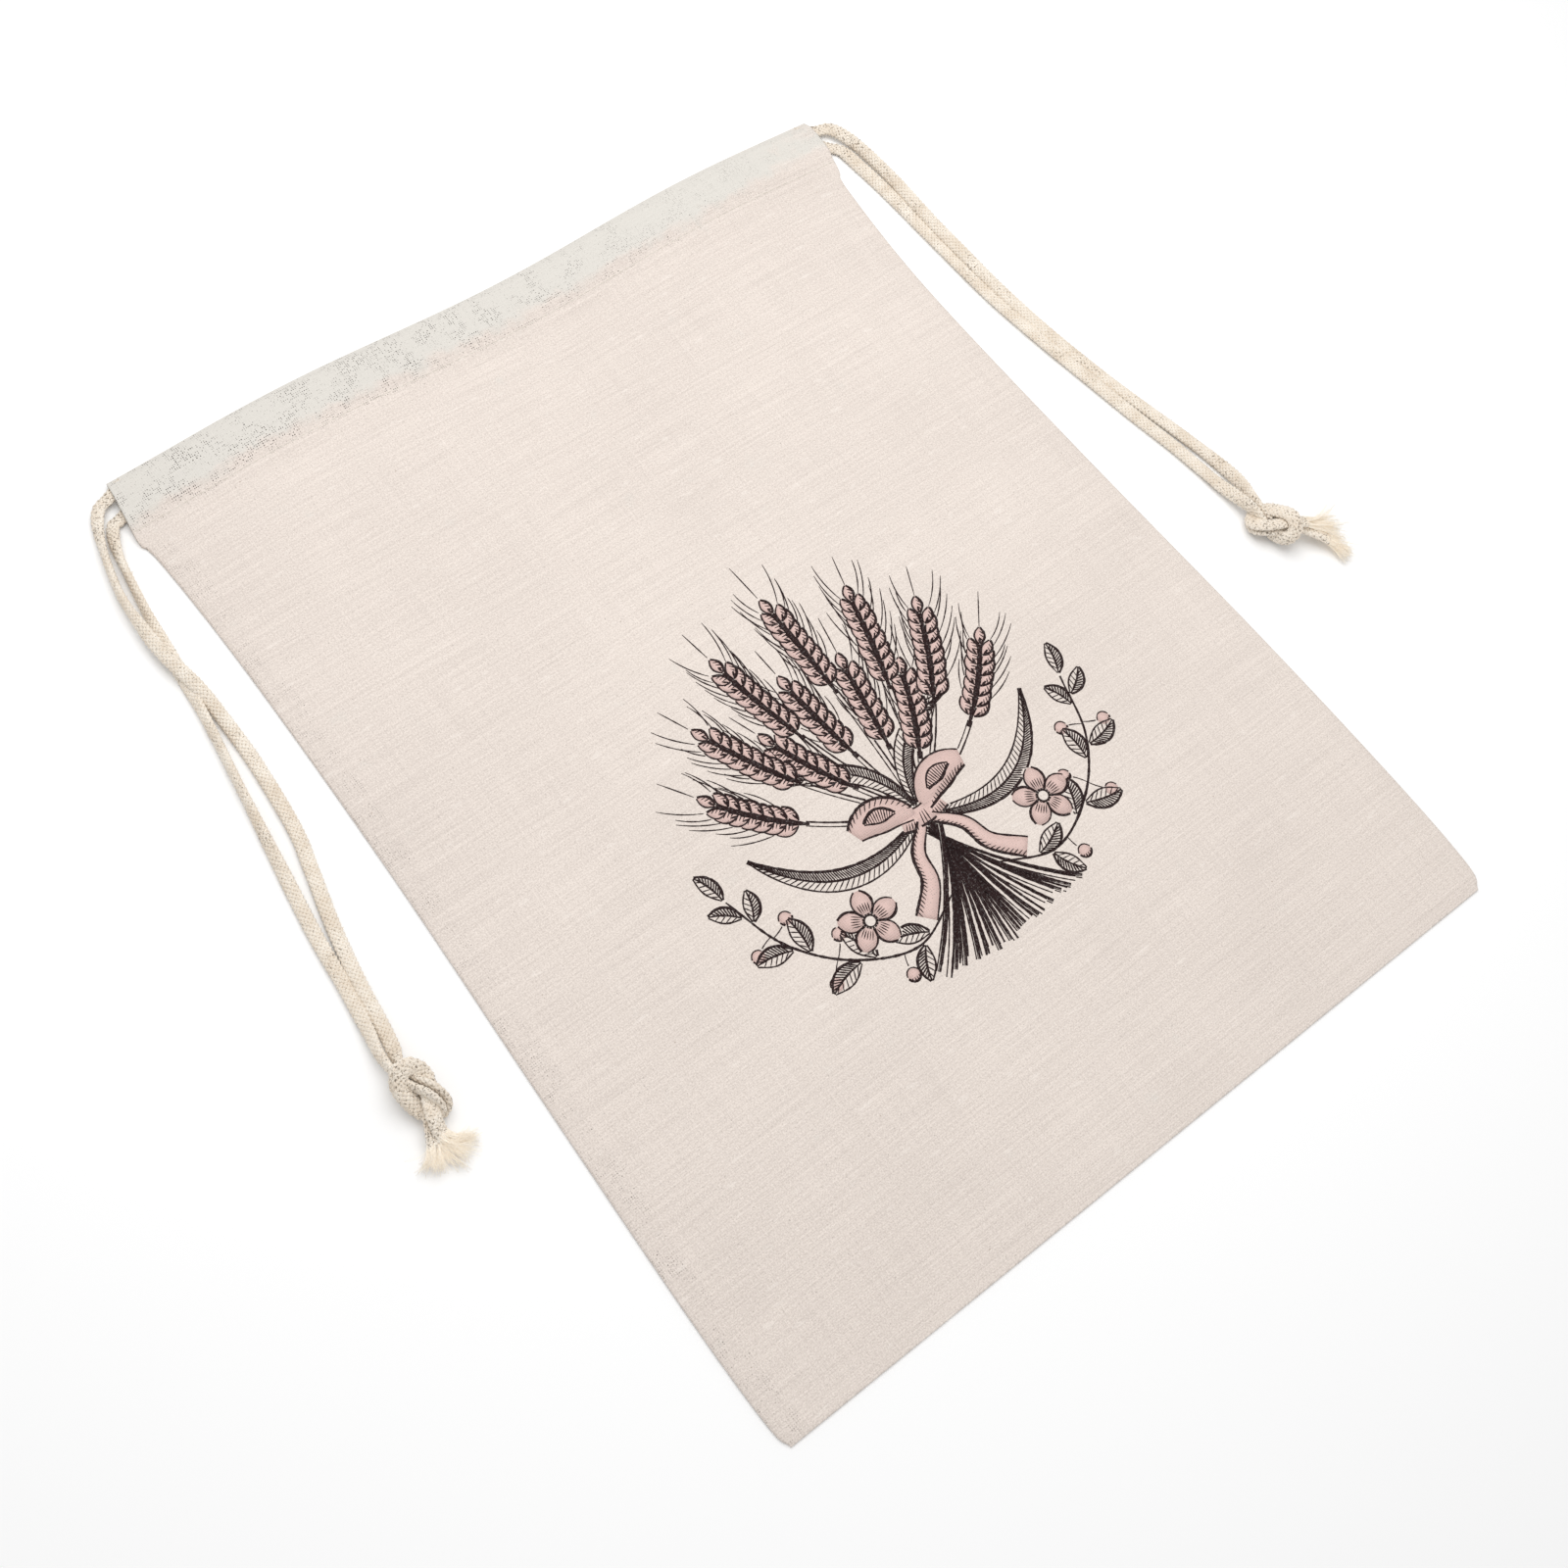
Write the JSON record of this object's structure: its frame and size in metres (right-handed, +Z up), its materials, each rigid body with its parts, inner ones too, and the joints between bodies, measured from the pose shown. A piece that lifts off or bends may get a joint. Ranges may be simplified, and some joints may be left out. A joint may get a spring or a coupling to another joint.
{
  "type": "linen bread bag",
  "caption": "Flat linen drawstring bread bag with a turned-in mouth casing, braided cotton drawcords knotted at each side, frayed ends and a plant-themed print.",
  "frame": {"origin": "centre of the bag cloth's outline, on the surface that it lies on", "axes": "+Y from the bottom fold to the mouth, +X to the right seen from the printed front, +Z up out of the printed front"},
  "size_m": [0.4001, 0.3856, 0.0128],
  "materials": {
    "linen": "plain-woven natural linen with slubs",
    "cotton_cord": "soft braided cotton"
  },
  "bodies": {
    "root": {"bag_cloth": "linen", "drawcord_front": "cotton_cord", "drawcord_back": "cotton_cord", "knot_left": "cotton_cord", "knot_right": "cotton_cord", "tail_left_outer": "cotton_cord", "tail_left_inner": "cotton_cord", "tail_right_outer": "cotton_cord", "tail_right_inner": "cotton_cord"}
  },
  "joints": []
}
